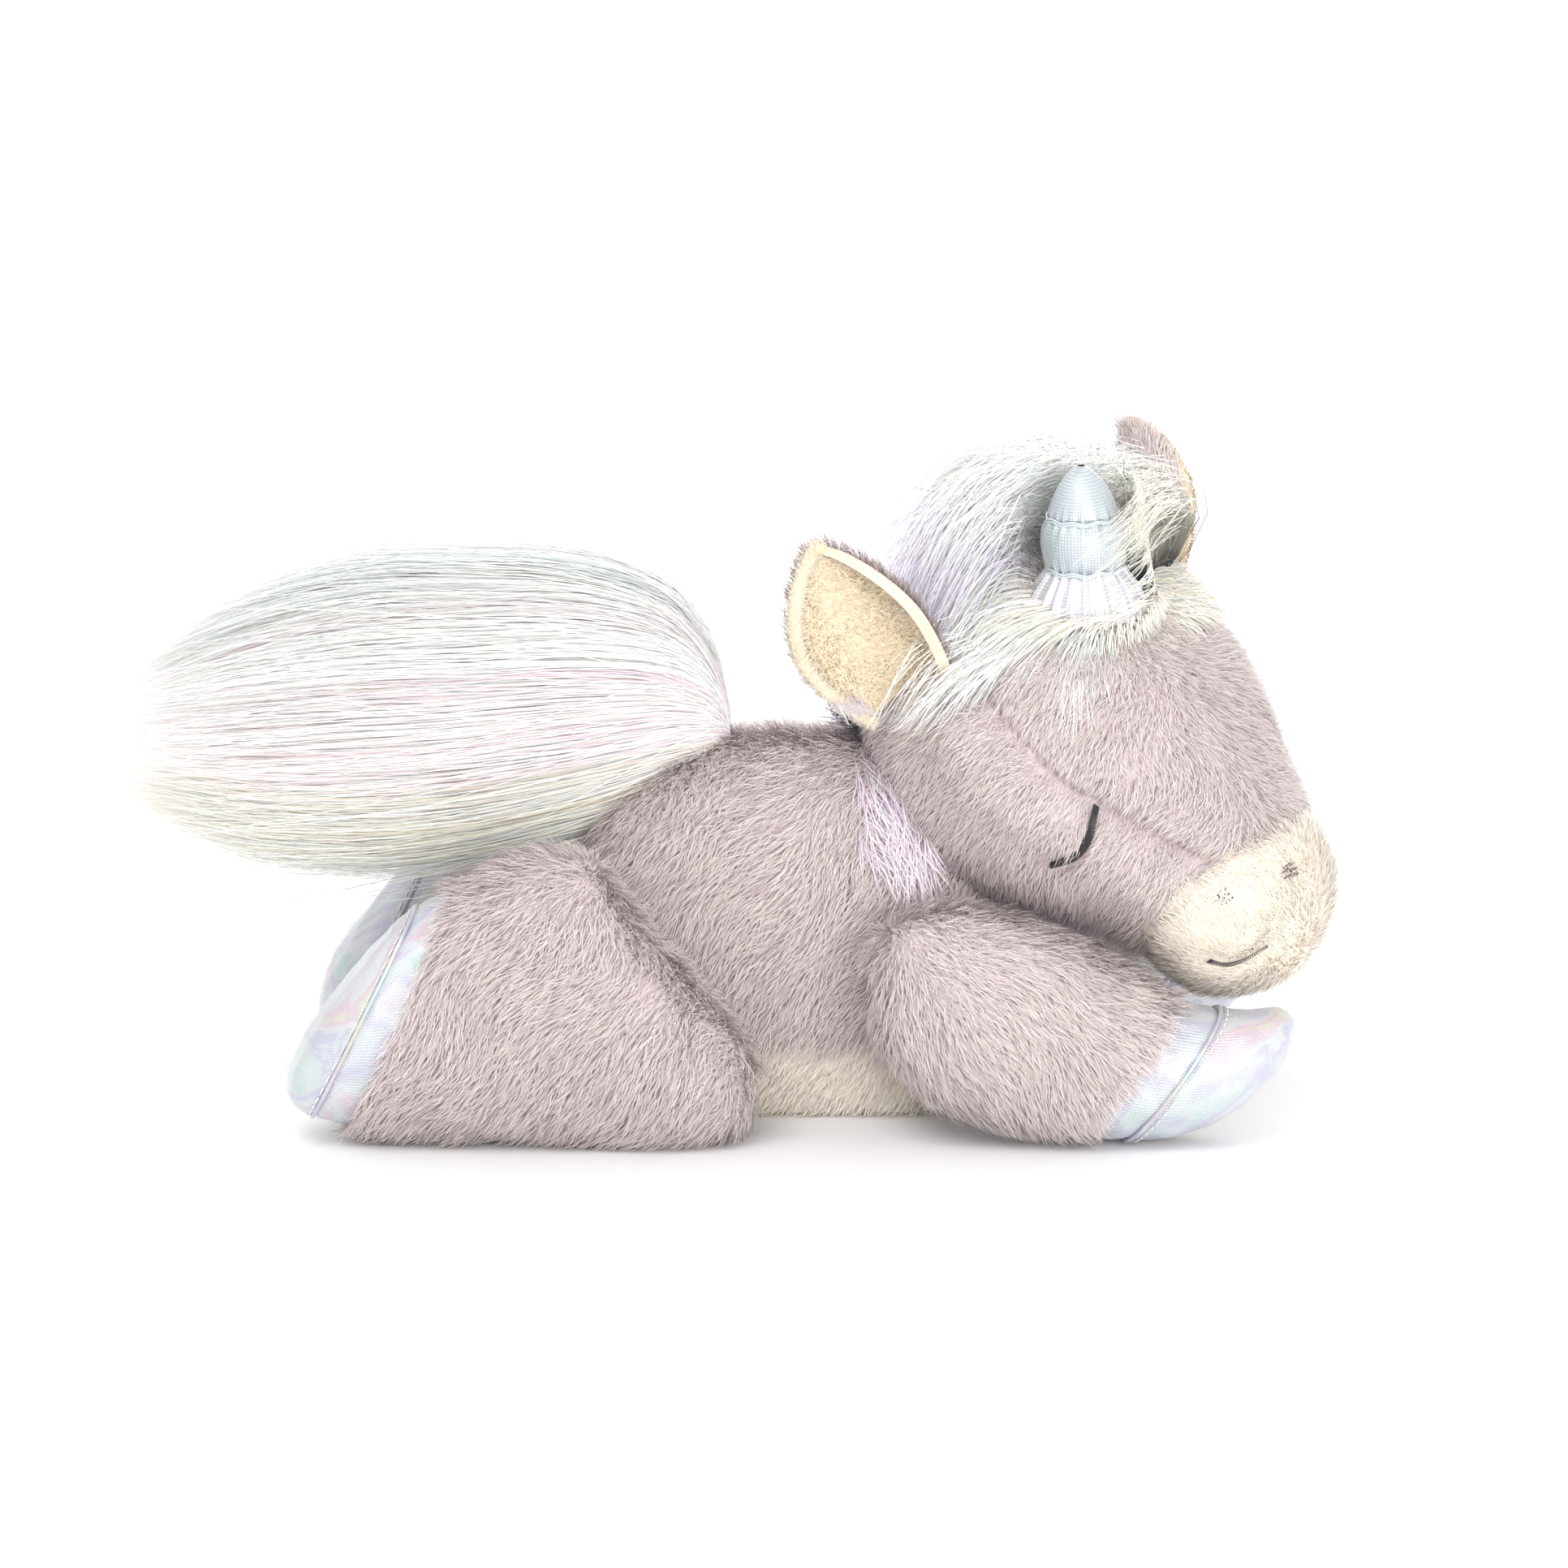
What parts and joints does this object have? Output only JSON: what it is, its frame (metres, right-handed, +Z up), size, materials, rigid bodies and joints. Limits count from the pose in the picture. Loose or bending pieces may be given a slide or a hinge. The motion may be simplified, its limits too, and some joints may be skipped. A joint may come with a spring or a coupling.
{
  "type": "plush unicorn",
  "caption": "Sleeping plush unicorn lying on its belly, with lilac fur, long pastel mane and tail, and satin hooves and horn.",
  "frame": {"origin": "on the flat underside of the belly, midway between the legs", "axes": "+X towards the head, -Y the animal's right side, +Z up"},
  "size_m": [0.2898, 0.1352, 0.1633],
  "materials": {
    "lilac_fur": "matte",
    "cream_fur": "matte",
    "ear_velour": "matte",
    "pastel_hair": "satin",
    "iridescent_satin": "satin",
    "silver_lame": "satin",
    "black_thread": "matte",
    "brown_thread": "matte",
    "white_thread": "matte",
    "filling": "matte",
    "lining_cloth": "matte"
  },
  "bodies": {
    "torso": {"torso_panel_right": "lilac_fur", "torso_panel_left": "lilac_fur", "belly_gusset": "cream_fur", "torso_stuffing": "filling", "pellet_pouch": "lining_cloth"},
    "head": {"cheek_right": "lilac_fur", "cheek_left": "lilac_fur", "forehead_gusset": "lilac_fur", "muzzle_patch": "cream_fur", "head_stuffing": "filling", "horn_cover": "silver_lame", "horn_stuffing": "filling", "horn_thread_1": "white_thread", "horn_thread_2": "white_thread", "eye_stitch_right": "black_thread", "eye_stitch_left": "black_thread", "nostril_stitch_right": "brown_thread", "nostril_stitch_left": "brown_thread", "mouth_stitch": "black_thread", "forelock": "pastel_hair", "mane": "pastel_hair"},
    "hind_leg_right": {"hind_leg_right_skin": "lilac_fur", "hind_leg_right_hoof_band": "iridescent_satin", "hind_leg_right_hoof_cap": "iridescent_satin", "hind_leg_right_stuffing": "filling"},
    "front_leg_right": {"front_leg_right_skin": "lilac_fur", "front_leg_right_hoof_band": "iridescent_satin", "front_leg_right_hoof_cap": "iridescent_satin", "front_leg_right_stuffing": "filling"},
    "hind_leg_left": {"hind_leg_left_skin": "lilac_fur", "hind_leg_left_hoof_band": "iridescent_satin", "hind_leg_left_hoof_cap": "iridescent_satin", "hind_leg_left_stuffing": "filling"},
    "front_leg_left": {"front_leg_left_skin": "lilac_fur", "front_leg_left_hoof_band": "iridescent_satin", "front_leg_left_hoof_cap": "iridescent_satin", "front_leg_left_stuffing": "filling"},
    "ear_right": {"ear_outer_right": "lilac_fur", "ear_lining_right": "ear_velour"},
    "ear_left": {"ear_outer_left": "lilac_fur", "ear_lining_left": "ear_velour"},
    "tail": {"tail_hair": "pastel_hair"}
  },
  "joints": [
    {"name": "head_nod", "type": "hinge", "parent": "torso", "child": "head", "pos_m": [0.046, -0.002, 0.076], "axis": [-0.6264, -0.7469, -0.2233], "range_deg": [0, 18], "stiffness_Nm_per_rad": 0.6},
    {"name": "hind_leg_right_swing", "type": "hinge", "parent": "torso", "child": "hind_leg_right", "pos_m": [-0.03, -0.036, 0.026], "axis": [0, 1, 0], "range_deg": [-38, 14], "stiffness_Nm_per_rad": 0.4},
    {"name": "front_leg_right_swing", "type": "hinge", "parent": "torso", "child": "front_leg_right", "pos_m": [0.034, -0.036, 0.034], "axis": [0, -1, 0], "range_deg": [-40, 0], "stiffness_Nm_per_rad": 0.4},
    {"name": "hind_leg_left_swing", "type": "hinge", "parent": "torso", "child": "hind_leg_left", "pos_m": [-0.03, 0.036, 0.026], "axis": [0, 1, 0], "range_deg": [-38, 14], "stiffness_Nm_per_rad": 0.4},
    {"name": "front_leg_left_swing", "type": "hinge", "parent": "torso", "child": "front_leg_left", "pos_m": [0.034, 0.036, 0.034], "axis": [0, -1, 0], "range_deg": [-40, 0], "stiffness_Nm_per_rad": 0.4},
    {"name": "tail_lift", "type": "hinge", "parent": "torso", "child": "tail", "pos_m": [-0.015, 0, 0.0915], "axis": [0, 1, 0], "range_deg": [0, 30], "stiffness_Nm_per_rad": 0.15},
    {"name": "ear_right_flop", "type": "hinge", "parent": "head", "child": "ear_right", "pos_m": [0.02621, -0.0344, 0.10909], "axis": [-0.8653, 0.2351, -0.4427], "range_deg": [-14, 14], "stiffness_Nm_per_rad": 0.03},
    {"name": "ear_left_flop", "type": "hinge", "parent": "head", "child": "ear_left", "pos_m": [0.0844, 0.02825, 0.12145], "axis": [0.2824, -0.9301, 0.235], "range_deg": [-14, 14], "stiffness_Nm_per_rad": 0.03}
  ]
}
